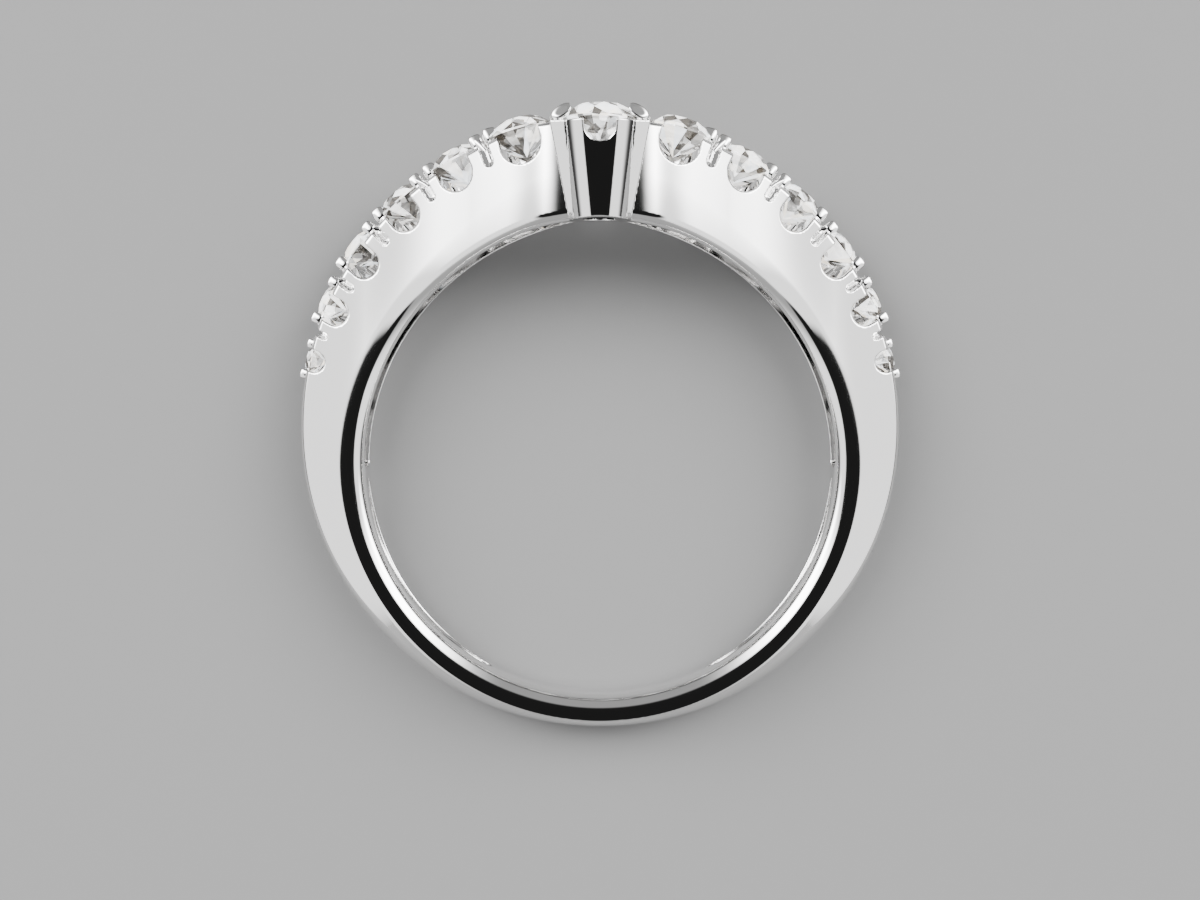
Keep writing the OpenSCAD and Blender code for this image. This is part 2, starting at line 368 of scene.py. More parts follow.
class Hollows:
    """The hollows scooped from the inside of the band."""

    @staticmethod
    def arm(x: Array, y: Array, z: Array) -> Array:
        """The long hollow of an arm, which ends in a point at the head.

        Args:
            x, y, z: The points.

        Returns:
            Signed distances.
        """
        share = np.maximum(1 - (x / (SIZE.bore_r + 1)) ** 2, 0)
        full = SIZE.shank_w / 2 + SIZE.head_widening / 2 * share
        rise, slope = Hoop.rise(x)
        tip = np.clip((x - SIZE.hollow_tip_x) / (SIZE.hollow_full_x - SIZE.hollow_tip_x), 0, 1)
        neck = Hoop.pinch(x)
        half = (full - neck - SIZE.rail_w) * (1 - (1 - tip) ** SIZE.hollow_tip_power)
        roof = np.hypot(x, y - SIZE.outline_shift) - (SIZE.outline_r - SIZE.roof_thickness)
        wall = (np.abs(z - full - rise) - half) / np.sqrt(1 + slope**2)
        wall = np.where(x < SIZE.hollow_tip_x, np.maximum(wall, SIZE.hollow_tip_x - x), wall)
        hollow = round_max(roof, wall, SIZE.hollow_corner)
        return round_max(hollow, -y - SIZE.hollow_below, SIZE.hollow_end_corner)

    @staticmethod
    def pocket(x: Array, y: Array, z: Array) -> Array:
        """The shallow pocket in the lower half.

        Args:
            x, y, z: The points.

        Returns:
            Signed distances.
        """
        start, end = math.radians(SIZE.pocket_start), math.radians(SIZE.pocket_end)
        shift = (SIZE.pocket_depth - SIZE.pocket_end_depth) / (math.cos(start) - math.cos(end))
        radius = SIZE.bore_r + SIZE.pocket_depth - shift * math.cos(start)
        angle = np.arctan2(x, y)
        along = np.clip((angle - start) / (end - start), 0, 1)
        lens = np.clip(1 - np.abs(2 * along - 1) ** SIZE.pocket_end_power, 0, 1)
        lens = lens**SIZE.pocket_lens_power
        wall = np.abs(z - SIZE.shank_w / 2) - (SIZE.shank_w / 2 - SIZE.rail_w) * lens
        ends = np.maximum(start - angle, angle - end) * SIZE.bore_r
        roof = np.hypot(x, y - shift) - radius
        return round_max(np.maximum(wall, ends), roof, SIZE.pocket_corner)

    @classmethod
    def cut_arm(cls, solid: Array, x: Array, y: Array, z: Array) -> Array:
        """Cuts the long hollow."""
        return cut(solid, cls.arm(x, y, z), SIZE.edge_rounding)

    @classmethod
    def cut_pocket(cls, solid: Array, x: Array, y: Array, z: Array) -> Array:
        """Cuts the shallow pocket."""
        return cut(solid, cls.pocket(x, y, z), SIZE.edge_rounding)


@dataclass(frozen=True)
class Setting:
    """The scallops, notches and seats of the side stones, cut from the hoop.

    Attributes:
        room_rounding, back_rounding, notch_rounding: Roundings of the edges.
        notch_r_share: Radius of a notch over the sum of the two stones' diameters.
        notch_floor: Height of its floor over the scallops' floors.
        notch_depth: Depth along its middle, where its two facets meet.
        notch_fall: How much shallower it is at its wall.
        notch_point: Share of that fall at its foot.
    """

    room_rounding: float = 0.02
    back_rounding: float = 0.03
    notch_rounding: float = 0.03
    notch_r_share: float = 0.045
    notch_floor: float = 0.3
    notch_depth: float = 0.26
    notch_fall: float = 0.14
    notch_point: float = 0.6

    def cut_seat(self, solid: Array, x: Array, y: Array, z: Array, seat: Seat) -> Array:
        """Cuts one side stone's scallops, its room and its open back.

        Args:
            solid: Signed distances before the cut.
            x, y, z: The points.
            seat: The stone's place.

        Returns:
            Signed distances after it.
        """
        u, v, w = Place(seat.angle, seat.girdle).local(x, y, z)
        turn = math.radians(seat.turn)
        beside = u * math.cos(turn) - w * math.sin(turn)
        floor = v + seat.girdle - seat.floor - seat.round
        front = np.maximum(np.hypot(beside, np.minimum(floor, 0)) - seat.round, -w)
        behind = np.hypot(beside, np.minimum(floor - SIZE.back_scallop_rise, 0)) - seat.round
        solid = cut(solid, np.minimum(front, np.maximum(behind, w)), seat.edge)
        across = np.hypot(u, w)
        solid = cut(solid, stone_room(across, v, seat.diameter), self.room_rounding)
        back = np.maximum(across - SIZE.seat_hole * seat.diameter, v)
        return cut(solid, back, self.back_rounding)

    def cut_notch(
        self, solid: Array, x: Array, y: Array, z: Array, upper: Seat, lower: Seat
    ) -> Array:
        """Cuts the notches between two side stones into both flanks, each with two facets.

        Args:
            solid: Signed distances before the cut.
            x, y, z: The points.
            upper, lower: Places of the two stones.

        Returns:
            Signed distances after it.
        """
        angle = (upper.angle + lower.angle) / 2
        u, v, w = Place(angle, SIZE.outline_r).local(x, y, z)
        turn = math.radians((upper.turn + lower.turn) / 2)
        beside = u * math.cos(turn) - w * math.sin(turn)
        radius = self.notch_r_share * (upper.diameter + lower.diameter)
        foot = (upper.floor + lower.floor) / 2 + self.notch_floor + radius - SIZE.outline_r
        below = np.minimum(v - foot, 0)
        notch = np.hypot(beside, below) - radius
        fall = self.notch_fall * np.hypot(beside, self.notch_point * below) / radius
        notch = np.maximum(notch, -Hoop.distance(x, y, z) - (self.notch_depth - fall))
        return cut(solid, notch, self.notch_rounding)


@dataclass(frozen=True)
class Collet:
    """The tapered collet of the centre stone, soldered over the point of the chevron.

    Points are distance from the middle, height and distance along the finger.

    Attributes:
        panel_foot, panel_top: Distance of the flat panels from the middle, at the bore and the rim.
        claw_foot: Foot of a claw's axis, its height over the bore.
        claw_tip: Tip of the axis, its height over the rim.
        claw_flat: Distance of a claw's flat face from the axis, as a share of the radius.
        claw_end: How far below the rim a claw ends.
        leaf_center, leaf_radii: Middle and radii of a claw's head.
        leaf_scale: Turns shares of those radii into rough distances.
        leaf_slopes, leaf_face: Slopes of the head's flat face, and its distance from the middle.
        notch_drop: How far below the rim the middle of a U-shaped notch lies.
    """

    panel_foot: float = 1.04
    panel_top: float = 1.56
    body_rounding: float = 0.03
    rim_rounding: float = 0.07
    claw_foot: Point = (1.0, 0.3, 0.46)
    claw_tip: Point = (1.46, 0.1, 0.96)
    claw_flat: float = 0.6
    claw_rounding: float = 0.05
    claw_end: float = 0.02
    claw_end_rounding: float = 0.06
    claw_fillet: float = 0.02
    leaf_center: Point = (1.34, 12.38, 0.76)
    leaf_radii: Point = (0.5, 0.27, 0.46)
    leaf_scale: float = 0.25
    leaf_slopes: Range = (0.12, 0.2)
    leaf_face: float = 0.3
    leaf_fillet: float = 0.015
    solder_fillet: float = 0.05
    notch_drop: float = 0.21
    notch_rounding: float = 0.05
    room_rounding: float = 0.02
    hole_rounding: float = 0.03

    def add_to(self, solid: Array, x: Array, y: Array, z: Array) -> Array:
        """Solders the collet to the hoop and cuts its room, its hole and its U-shaped notches.

        Args:
            solid: Signed distances to the hoop.
            x, y, z: The points.

        Returns:
            Signed distances to both.
        """
        w = np.abs(z - SIZE.head_middle)
        shape = round_min(self._body(x, y, w), self._claw(x, y, w), self.claw_fillet)
        shape = round_min(shape, self._leaf(x, y, w), self.leaf_fillet)
        solid = round_min(solid, shape, self.solder_fillet)
        across = np.hypot(x, w)
        room = stone_room(across, y - SIZE.center_girdle_y, SIZE.center_d)
        solid = cut(solid, room, self.room_rounding)
        hole = np.maximum(across - SIZE.collet_hole_r, y - SIZE.collet_rim_y)
        solid = cut(solid, hole, self.hole_rounding)
        up = y - SIZE.collet_rim_y + self.notch_drop
        notch = np.hypot(x, np.minimum(up, 0)) - SIZE.collet_notch_r
        return cut(solid, notch, self.notch_rounding)

    def _body(self, x: Array, y: Array, w: Array) -> Array:
        """A cone with flat panels in front and behind.

        Args:
            x, y, w: The points, w from the middle of the head.

        Returns:
            Signed distances.
        """
        height = SIZE.collet_rim_y - SIZE.bore_r
        lean = (SIZE.collet_top_r - SIZE.collet_base_r) / height
        radius = SIZE.collet_base_r + lean * (y - SIZE.bore_r)
        cone = (np.hypot(x, w) - radius) / math.hypot(1, lean)
        tilt = (self.panel_top - self.panel_foot) / height
        panel = (w - self.panel_foot - tilt * (y - SIZE.bore_r)) / math.hypot(1, tilt)
        body = round_max(cone, panel, self.body_rounding)
        body = round_max(body, y - SIZE.collet_rim_y, self.rim_rounding)
        return round_max(body, SIZE.bore_r - np.hypot(x, y), self.body_rounding)

    def _claw(self, x: Array, y: Array, w: Array) -> Array:
        """A tapering column with a flat face turned a little outward.

        Args:
            x, y, w: The points, w from the middle of the head.

        Returns:
            Signed distances.
        """
        foot = (self.claw_foot[0], SIZE.bore_r + self.claw_foot[1], self.claw_foot[2])
        tip = (self.claw_tip[0], SIZE.collet_rim_y + self.claw_tip[1], self.claw_tip[2])
        claw = bar(x, y, w, foot, tip, SIZE.collet_foot_r, SIZE.collet_claw_r)
        share = (y - foot[1]) / (tip[1] - foot[1])
        radius = SIZE.collet_foot_r + share * (SIZE.collet_claw_r - SIZE.collet_foot_r)
        turn = math.radians(SIZE.claw_face_turn)
        out = (x - foot[0] - share * (tip[0] - foot[0])) * math.sin(turn)
        out = out + (w - foot[2] - share * (tip[2] - foot[2])) * math.cos(turn)
        claw = round_max(claw, out - self.claw_flat * radius, self.claw_rounding)
        return round_max(claw, y - SIZE.collet_rim_y + self.claw_end, self.claw_end_rounding)

    def _leaf(self, x: Array, y: Array, w: Array) -> Array:
        """The leaf-shaped head of a claw, bent over the stone, with a flat face.

        Args:
            x, y, w: The points, w from the middle of the head.

        Returns:
            Signed distances.
        """
        lean = math.radians(SIZE.claw_head_lean)
        hx, hy, hw = self.leaf_center
        rx, ry, rw = self.leaf_radii
        along = (x - hx) * math.cos(lean) - (y - hy) * math.sin(lean)
        across = (x - hx) * math.sin(lean) + (y - hy) * math.cos(lean)
        head = np.sqrt((along / rx) ** 2 + (across / ry) ** 2 + ((w - hw) / rw) ** 2)
        slope_x, slope_y = self.leaf_slopes
        face = (x - hx) * slope_x + (y - hy) * slope_y + (w - hw) - self.leaf_face
        return round_max((head - 1) * self.leaf_scale, face, self.claw_rounding)


@dataclass(frozen=True)
class BandSolid:
    """The whole band as one implicit solid, symmetric across x = 0.

    Attributes:
        setting: The cuts of the side stones.
        collet: The collet of the centre stone.
        reach: How far a seat or notch can change the solid.
        far: Distance past which nothing changes a point any more.
        arm_y: Height above which the long hollows can change the solid.
        pocket_y: Height below which the pockets can.
        head_x: Half the width of what the collet can change.
        head_y: Foot of what the collet can change.
        step: Half the distance between the points that a slope is taken from.
    """

    setting: Setting = Setting()
    collet: Collet = Collet()
    reach: float = 1.9
    far: float = 2.5
    arm_y: float = -1.0
    pocket_y: float = 1.0
    head_x: float = 2.6
    head_y: float = 8.2
    step: float = 0.004

    def distance(self, points: Array) -> Array:
        """Signed distances, negative inside the metal.

        Args:
            points: Rows of x, y, z in millimetres.

        Returns:
            One distance for each row.
        """
        x, y, z = np.abs(points[:, 0]), points[:, 1], points[:, 2]
        solid = Hoop.distance(x, y, z)

        def apply(mask: Array, change: Callable[..., Array], *seats: Seat) -> None:
            """Applies a change to the points of a mask."""
            mask = mask & (np.abs(solid) < self.far)
            solid[mask] = change(solid[mask], x[mask], y[mask], z[mask], *seats)

        def near(angle: float, radius: float) -> Array:
            """Mask of the points near a place on the arm."""
            ox, oy, _ = Place(angle, radius).xyz
            return (np.abs(x - ox) < self.reach) & (np.abs(y - oy) < self.reach)

        apply(y > self.arm_y, Hollows.cut_arm)
        apply(y < self.pocket_y, Hollows.cut_pocket)
        for seat in SEATS:
            apply(near(seat.angle, seat.girdle), self.setting.cut_seat, seat)
        for upper, lower in zip(SEATS, SEATS[1:]):
            middle = (upper.angle + lower.angle) / 2
            apply(near(middle, SIZE.outline_r), self.setting.cut_notch, upper, lower)
        apply((x < self.head_x) & (y > self.head_y), self.collet.add_to)
        return solid

    def gradient(self, points: Array) -> Array:
        """Slopes of the distance, from differences over a small step.

        Args:
            points: Rows of x, y, z in millimetres.

        Returns:
            One vector for each row.
        """
        parts = []
        for axis in range(3):
            shift = np.zeros(3)
            shift[axis] = self.step
            parts.append(self.distance(points + shift) - self.distance(points - shift))
        return np.stack(parts, axis=1) / (2 * self.step)


@dataclass(frozen=True)
class Skin:
    """A quad mesh with a normal at each vertex, in millimetres."""

    points: Array
    quads: Array
    normals: Array


@dataclass(frozen=True)
class SolidMesher:
    """Turns the band's implicit solid into a fine mesh with true normals.

    Attributes:
        solid: The solid.
        pitch: Side of a grid cell.
        rim: Cells that are measured on each side of the surface.
        block: Grid points along a coarse block, which is left out where the surface is far.
        half_diagonal: Half a block's diagonal, as a share of its side.
        safety: How many half diagonals count as far.
        fillet: What a fillet can add outside the solid.
        rounds: Moves of each point towards the true surface.
        least_slope: Smallest square of a slope that a move is divided by.
    """

    solid: BandSolid
    pitch: float
    rim: int = 3
    block: int = 12
    half_diagonal: float = 0.9
    safety: float = 1.6
    fillet: float = 0.3
    rounds: int = 3
    least_slope: float = 0.2

    def mesh(self, low: Point, high: Point) -> Skin:
        """Meshes the solid inside a box whose low corner has x = 0, and mirrors it.

        Args:
            low: Lowest corner of the right half's box.
            high: Highest corner.

        Returns:
            The mesh of both halves.
        """
        axes = [np.arange(a, b + self.pitch, self.pitch) for a, b in zip(low, high)]
        half = self._sample(axes)
        field = np.concatenate([half[:0:-1], half], axis=0)
        start = (-axes[0][-1], axes[1][0], axes[2][0])
        grid = openvdb.FloatGrid(background=self.rim * self.pitch)
        grid.copyFromArray(field.astype(np.float32))
        points, quads = grid.convertToQuads(isovalue=0.0)
        points = points.astype(np.float64) * self.pitch + np.array(start)
        log.info("band: %d points, %d quads", len(points), len(quads))
        points, normals = self._settle(points)
        if self._inward(points, quads, normals):
            quads = quads[:, ::-1]
        return Skin(points, quads.astype(np.int64), normals)

    def _sample(self, axes: Sequence[Array]) -> Array:
        """Distances on the grid, measured only near the surface.

        Args:
            axes: Coordinates of the grid along x, y and z.

        Returns:
            The grid's distances, cut off past the rim.
        """
        limit = self.rim * self.pitch
        shape = tuple(len(a) for a in axes)
        field = np.full(shape, limit, np.float32)
        block = self.block
        side = block * self.pitch
        reach = side * self.half_diagonal
        centers = [a[: len(a) // block * block + block : block] + side / 2 for a in axes]
        coarse = self._grid(*centers)
        inside = coarse < -self.safety * reach
        near = ~inside & (coarse < self.safety * reach + self.fillet)
        for corner in np.argwhere(inside):
            field[tuple(slice(n * block, (n + 1) * block) for n in corner)] = -limit
        columns = {}
        for i, j, k in np.argwhere(near):
            columns.setdefault((i, j), []).append(k)
        for (i, j), layers in columns.items():
            xs = axes[0][i * block : (i + 1) * block]
            ys = axes[1][j * block : (j + 1) * block]
            levels = [np.arange(k * block, min((k + 1) * block, shape[2])) for k in layers]
            levels = np.concatenate(levels)
            part = np.clip(self._grid(xs, ys, axes[2][levels]), -limit, limit)
            field[i * block : i * block + len(xs), j * block : j * block + len(ys), levels] = part
        return field

    def _grid(self, xs: Array, ys: Array, zs: Array) -> Array:
        """Distances on the grid that three rows of coordinates span."""
        grid = np.meshgrid(xs, ys, zs, indexing="ij")
        found = self.solid.distance(np.stack([part.ravel() for part in grid], axis=1))
        return found.reshape(grid[0].shape)

    def _settle(self, points: Array) -> Tuple[Array, Array]:
        """Moves points onto the true surface.

        Args:
            points: Rows of x, y, z near the surface.

        Returns:
            The moved points and the surface's normals there.
        """
        for _ in range(self.rounds):
            slope = self.solid.gradient(points)
            square = np.maximum((slope**2).sum(axis=1), self.least_slope)
            move = -(self.solid.distance(points) / square)[:, None] * slope
            length = np.linalg.norm(move, axis=1)
            points = points + move * np.minimum(1, self.pitch / np.maximum(length, TINY))[:, None]
        slope = self.solid.gradient(points)
        return points, slope / np.maximum(np.linalg.norm(slope, axis=1), TINY)[:, None]

    @staticmethod
    def _inward(points: Array, quads: Array, normals: Array) -> bool:
        """Whether the quads' winding faces into the metal."""
        a, b, c = points[quads[:, 0]], points[quads[:, 1]], points[quads[:, 2]]
        facing = (np.cross(b - a, c - a) * normals[quads[:, 0]]).sum(axis=1)
        return float(facing.sum()) < 0


class Wire:
    """An output of a node, with arithmetic that adds Math nodes."""

    def __init__(self, tree: "Nodes", socket: bpy.types.NodeSocket) -> None:
        """Keeps the socket and the tree that it belongs to."""
        self.tree = tree
        self.socket = socket

    def __add__(self, other: Value) -> "Wire":
        """Sum with what follows."""
        return self.tree.math("ADD", self, other)

    def __radd__(self, other: Value) -> "Wire":
        """Sum with what comes before."""
        return self.tree.math("ADD", other, self)

    def __sub__(self, other: Value) -> "Wire":
        """Difference to what follows."""
        return self.tree.math("SUBTRACT", self, other)

    def __rsub__(self, other: Value) -> "Wire":
        """Difference from what comes before."""
        return self.tree.math("SUBTRACT", other, self)

    def __mul__(self, other: Value) -> "Wire":
        """Product with what follows."""
        return self.tree.math("MULTIPLY", self, other)

    def __rmul__(self, other: Value) -> "Wire":
        """Product with what comes before."""
        return self.tree.math("MULTIPLY", other, self)

    def __truediv__(self, other: Value) -> "Wire":
        """Quotient by what follows."""
        return self.tree.math("DIVIDE", self, other)

    def smoothstep(self, low: float, high: float) -> "Wire":
        """A smooth step.

        Args:
            low: The result is 0 up to here.
            high: The result is 1 from here on.

        Returns:
            The step.
        """
        node = self.tree.node("ShaderNodeMapRange", interpolation_type="SMOOTHSTEP")
        self.tree.feed(node.inputs["Value"], self)
        node.inputs["From Min"].default_value = low
        node.inputs["From Max"].default_value = high
        return Wire(self.tree, node.outputs["Result"])


class Nodes:
    """Builds one node tree: a material's, the world's or a node group's."""

    def __init__(self, tree: bpy.types.NodeTree) -> None:
        """Starts with an empty tree."""
        self.tree = tree
        tree.nodes.clear()

    @classmethod
    def material(cls, name: str) -> Tuple["Nodes", bpy.types.Material]:
        """A new material's builder and the material."""
        material = bpy.data.materials.new(name)
        material.use_nodes = True
        return cls(material.node_tree), material

    def node(self, kind: str, **settings: object) -> bpy.types.Node:
        """Adds a node.

        Args:
            kind: The node's type.
            settings: Its properties.

        Returns:
            The node.
        """
        node = self.tree.nodes.new(kind)
        for key, value in settings.items():
            setattr(node, key, value)
        return node

    def feed(self, socket: bpy.types.NodeSocket, value: object) -> None:
        """Gives a socket its value.

        Args:
            socket: The socket.
            value: A wire, which is linked, or a value, which is set.
        """
        if isinstance(value, Wire):
            self.tree.links.new(value.socket, socket)
        else:
            socket.default_value = value

    def math(self, operation: str, *values: Value) -> Wire:
        """Adds a Math node.

        Args:
            operation: What it does.
            values: Wires or numbers.

        Returns:
            Its result.
        """
        node = self.node("ShaderNodeMath", operation=operation)
        for socket, value in zip(node.inputs, values):
            self.feed(socket, value)
        return Wire(self, node.outputs[0])

    def vector(self, operation: str, *values: Union[Wire, Color]) -> Wire:
        """Adds a Vector Math node.

        Args:
            operation: What it does.
            values: Wires or triples of numbers.

        Returns:
            Its result.
        """
        node = self.node("ShaderNodeVectorMath", operation=operation)
        for socket, value in zip(node.inputs, values):
            self.feed(socket, value)
        return Wire(self, node.outputs["Vector"])

    def use(
        self, kind: str, output: str, settings: Optional[dict] = None, **inputs: object
    ) -> Wire:
        """Adds any node, feeds its named inputs and returns one output.

        Args:
            kind: The node's type.
            output: Name of the output to return.
            settings: Properties of the node.
            inputs: Values or wires for its inputs, spaces in their names as underscores.

        Returns:
            The output.
        """
        node = self.node(kind, **(settings or {}))
        for name, value in inputs.items():
            self.feed(node.inputs[name.replace("_", " ")], value)
        return Wire(self, node.outputs[output])

    def mix(self, factor: Value, a: Union[Wire, Color], b: Union[Wire, Color]) -> Wire:
        """Mixes two colours.

        Args:
            factor: Share of the second.
            a, b: The colours.

        Returns:
            The mixed colour.
        """
        node = self.node("ShaderNodeMix", data_type="RGBA")
        self.feed(node.inputs["Factor"], factor)
        for socket, value in zip([s for s in node.inputs if s.type == "RGBA"], (a, b)):
            self.feed(socket, value if isinstance(value, Wire) else (*value, 1.0))
        return Wire(self, next(s for s in node.outputs if s.type == "RGBA"))

    def object_coordinates(self, scale: Sequence[float] = (1, 1, 1)) -> Wire:
        """Object coordinates, scaled."""
        place = self.use("ShaderNodeTexCoord", "Object")
        return self.use("ShaderNodeMapping", "Vector", Vector=place, Scale=tuple(scale))

    def noise(self, where: Wire, scale: float, detail: float) -> Wire:
        """A noise texture between 0 and 1."""
        return self.use("ShaderNodeTexNoise", "Fac", Vector=where, Scale=scale, Detail=detail)

    def bump(self, height: Wire, strength: float, distance: float) -> Wire:
        """A bumped normal."""
        settings = {"Height": height, "Strength": strength, "Distance": distance}
        return self.use("ShaderNodeBump", "Normal", **settings)

    def principled(self, **inputs: object) -> None:
        """Ends a material in a Principled shader."""
        surface = self.use("ShaderNodeBsdfPrincipled", "BSDF", **inputs)
        output = self.node("ShaderNodeOutputMaterial")
        self.feed(output.inputs["Surface"], surface)


@dataclass(frozen=True)
class MetalFinish:
    """Polished white gold, with faint polishing lines and handling marks."""

    name: str = "white_metal_polished"
    color: Color = (0.86, 0.855, 0.85)
    roughness: float = 0.035
    mark_scale: float = 260.0
    mark_roughness: float = 0.03
    mark_shade: float = 0.96
    line_scale: float = 2200.0
    line_stretch: Point = (1, 1, 6)
    line_roughness: float = 0.015
    line_strength: float = 0.02
    line_depth: float = 0.00002

    def make(self) -> bpy.types.Material:
        """Makes the material."""
        shader, material = Nodes.material(self.name)
        marks = shader.noise(shader.object_coordinates(), self.mark_scale, detail=3.0)
        where = shader.object_coordinates(self.line_stretch)
        lines = shader.noise(where, self.line_scale, detail=2.0)
        marked = tuple(self.mark_shade * c for c in self.color)
        shader.principled(
            Base_Color=shader.mix(marks, self.color, marked),
            Metallic=1.0,
            Roughness=self.roughness + self.mark_roughness * marks + self.line_roughness * lines,
            Normal=shader.bump(lines, self.line_strength, self.line_depth),
        )
        return material


@dataclass(frozen=True)
class StoneFinishWithPaintedSparkle:
    """Clear stone with painted reflections: glowing bright chips, dark chips and coloured fire.

    Attributes:
        clearness: Share of the light that passes through.
        fire: Strength of the painted glints, the emission that keeps the bright chips glowing.
        facet_step: Step that facet directions are rounded to.
        chips_per_metre: Scale of the chips of painted glints and dark reflections within a facet.
        chip_share: How much a chip counts against its facet.
        bright_from: Where the pattern turns into painted glints.
        dark_below: Where it stops being a painted dark reflection.
        hue_shift: Shift that draws a facet's hue apart from its brightness.
        tint_share: Strength of the warm and cool patches of painted fire in the base colour.
    """

    name: str = "stone_brilliant_painted_sparkle"
    ior: float = 2.417
    reflection: float = 0.3
    clearness: float = 0.3
    fire: float = 1.6
    facet_step: float = 0.02
    chips_per_metre: float = 2600.0
    chip_share: float = 0.4
    bright_from: Range = (0.52, 0.56)
    dark_below: Range = (0.31, 0.42)
    # Base colour of the dark chips, a painted dark reflection.
    dark: Color = (0.04, 0.034, 0.028)
    hue_shift: Point = (3.1, 1.7, 5.3)
    # Colours of the painted glints, made cooler or warmer by each facet's hue.
    fire_color: Color = (1.0, 0.99, 0.97)
    cool_fire: Color = (0.85, 0.92, 1.0)
    cool_fire_from: Range = (0.62, 0.9)
    warm_fire: Color = (1.0, 0.88, 0.68)
    warm_fire_from: Range = (0.7, 0.95)
    # Warm and cool patches of painted fire, tinted into the base colour.
    tint_share: float = 0.3
    warm: Color = (1.0, 0.88, 0.7)
    warm_scale: float = 1900.0
    warm_from: Range = (0.55, 0.7)
    cool: Color = (0.78, 0.89, 1.0)
    cool_scale: float = 1700.0
    cool_stretch: Point = (1.3, 0.7, 1.1)
    cool_from: Range = (0.58, 0.7)

    def make(self) -> bpy.types.Material:
        """Makes the material."""
        shader, material = Nodes.material(self.name)
        where = shader.object_coordinates()
        facet = shader.use("ShaderNodeNewGeometry", "True Normal")
        facet = shader.vector("SNAP", facet, (self.facet_step,) * 3)
        # Painted sparkle: random per facet and per small cell; it paints dark reflections and
        # glints.
        painted_sparkle = self._draw(shader, facet)
        cell = shader.use("ShaderNodeTexVoronoi", "Color", Vector=where, Scale=self.chips_per_metre)
        painted_sparkle = (1 - self.chip_share) * painted_sparkle + self.chip_share * self._draw(shader, cell)
        hue = self._draw(shader, shader.vector("ADD", facet, self.hue_shift))
        # Colour of the painted glints, cooler or warmer from facet to facet.
        fire = shader.mix(hue.smoothstep(*self.cool_fire_from), self.fire_color, self.cool_fire)
        fire = shader.mix((1.0 - hue).smoothstep(*self.warm_fire_from), fire, self.warm_fire)
        # Warm and cool patches of painted fire.
        warm = shader.noise(where, self.warm_scale, detail=1.0).smoothstep(*self.warm_from)
        where = shader.object_coordinates(self.cool_stretch)
        cool = shader.noise(where, self.cool_scale, detail=1.0).smoothstep(*self.cool_from)
        color = shader.mix(self.tint_share * warm, (1.0, 1.0, 1.0), self.warm)
        color = shader.mix(self.tint_share * cool, color, self.cool)
        shader.principled(
            # Painted dark reflections on the dark chips.
            Base_Color=shader.mix(painted_sparkle.smoothstep(*self.dark_below), self.dark, color),
            Roughness=0.0,
            IOR=self.ior,
            Specular_IOR_Level=self.reflection,
            Transmission_Weight=self.clearness,
            # Painted glints: emission keeps the bright chips glowing, though the stone is no lamp.
            Emission_Color=shader.mix(painted_sparkle.smoothstep(*self.bright_from), (0.0, 0.0, 0.0), fire),
            Emission_Strength=self.fire,
        )
        return material

    @staticmethod
    def _draw(shader: Nodes, seed: Wire) -> Wire:
        """A random number that is fixed for each value of its seed."""
        return shader.use("ShaderNodeTexWhiteNoise", "Value", Vector=seed)


@dataclass(frozen=True)
class FloorFinish:
    """Plain pale studio floor of matt paper."""

    name: str = "studio_floor"
    color: Color = (0.21, 0.21, 0.21)
    grain_scale: float = 900.0
    grain_shade: float = 0.98
    roughness: float = 0.55
    reflection: float = 0.3

    def make(self) -> bpy.types.Material:
        """Makes the material."""
        shader, material = Nodes.material(self.name)
        grain = shader.noise(shader.object_coordinates(), self.grain_scale, detail=4.0)
        tint = shader.mix(grain, self.color, tuple(self.grain_shade * c for c in self.color))
        reflection = self.reflection
        shader.principled(Base_Color=tint, Roughness=self.roughness, Specular_IOR_Level=reflection)
        return material


def mesh_object(
    name: str, points: Array, faces: Array, material: bpy.types.Material
) -> bpy.types.Object:
    """Makes a mesh object at the origin.

    Args:
        name: Name of the object and mesh.
        points: Vertices in metres.
        faces: Rows of vertex numbers.
        material: The one material.

    Returns:
        The object, linked to the scene.
    """
    mesh = bpy.data.meshes.new(name)
    count, sides = faces.shape
    mesh.vertices.add(len(points))
    mesh.vertices.foreach_set("co", points.astype(np.float32).ravel())
    mesh.loops.add(faces.size)
    mesh.loops.foreach_set("vertex_index", faces.astype(np.int32).ravel())
    mesh.polygons.add(count)
    mesh.polygons.foreach_set("loop_start", np.arange(0, faces.size, sides, dtype=np.int32))
    mesh.update(calc_edges=True)
    mesh.validate()
    mesh.materials.append(material)
    thing = bpy.data.objects.new(name, mesh)
    bpy.context.scene.collection.objects.link(thing)
    return thing


def declare(piece: bpy.types.Object) -> None:
    """Hangs a metal piece on the ring's root body and hides the CAD's band, which it stands in for.
    """
    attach(piece, "root")
    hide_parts("band")


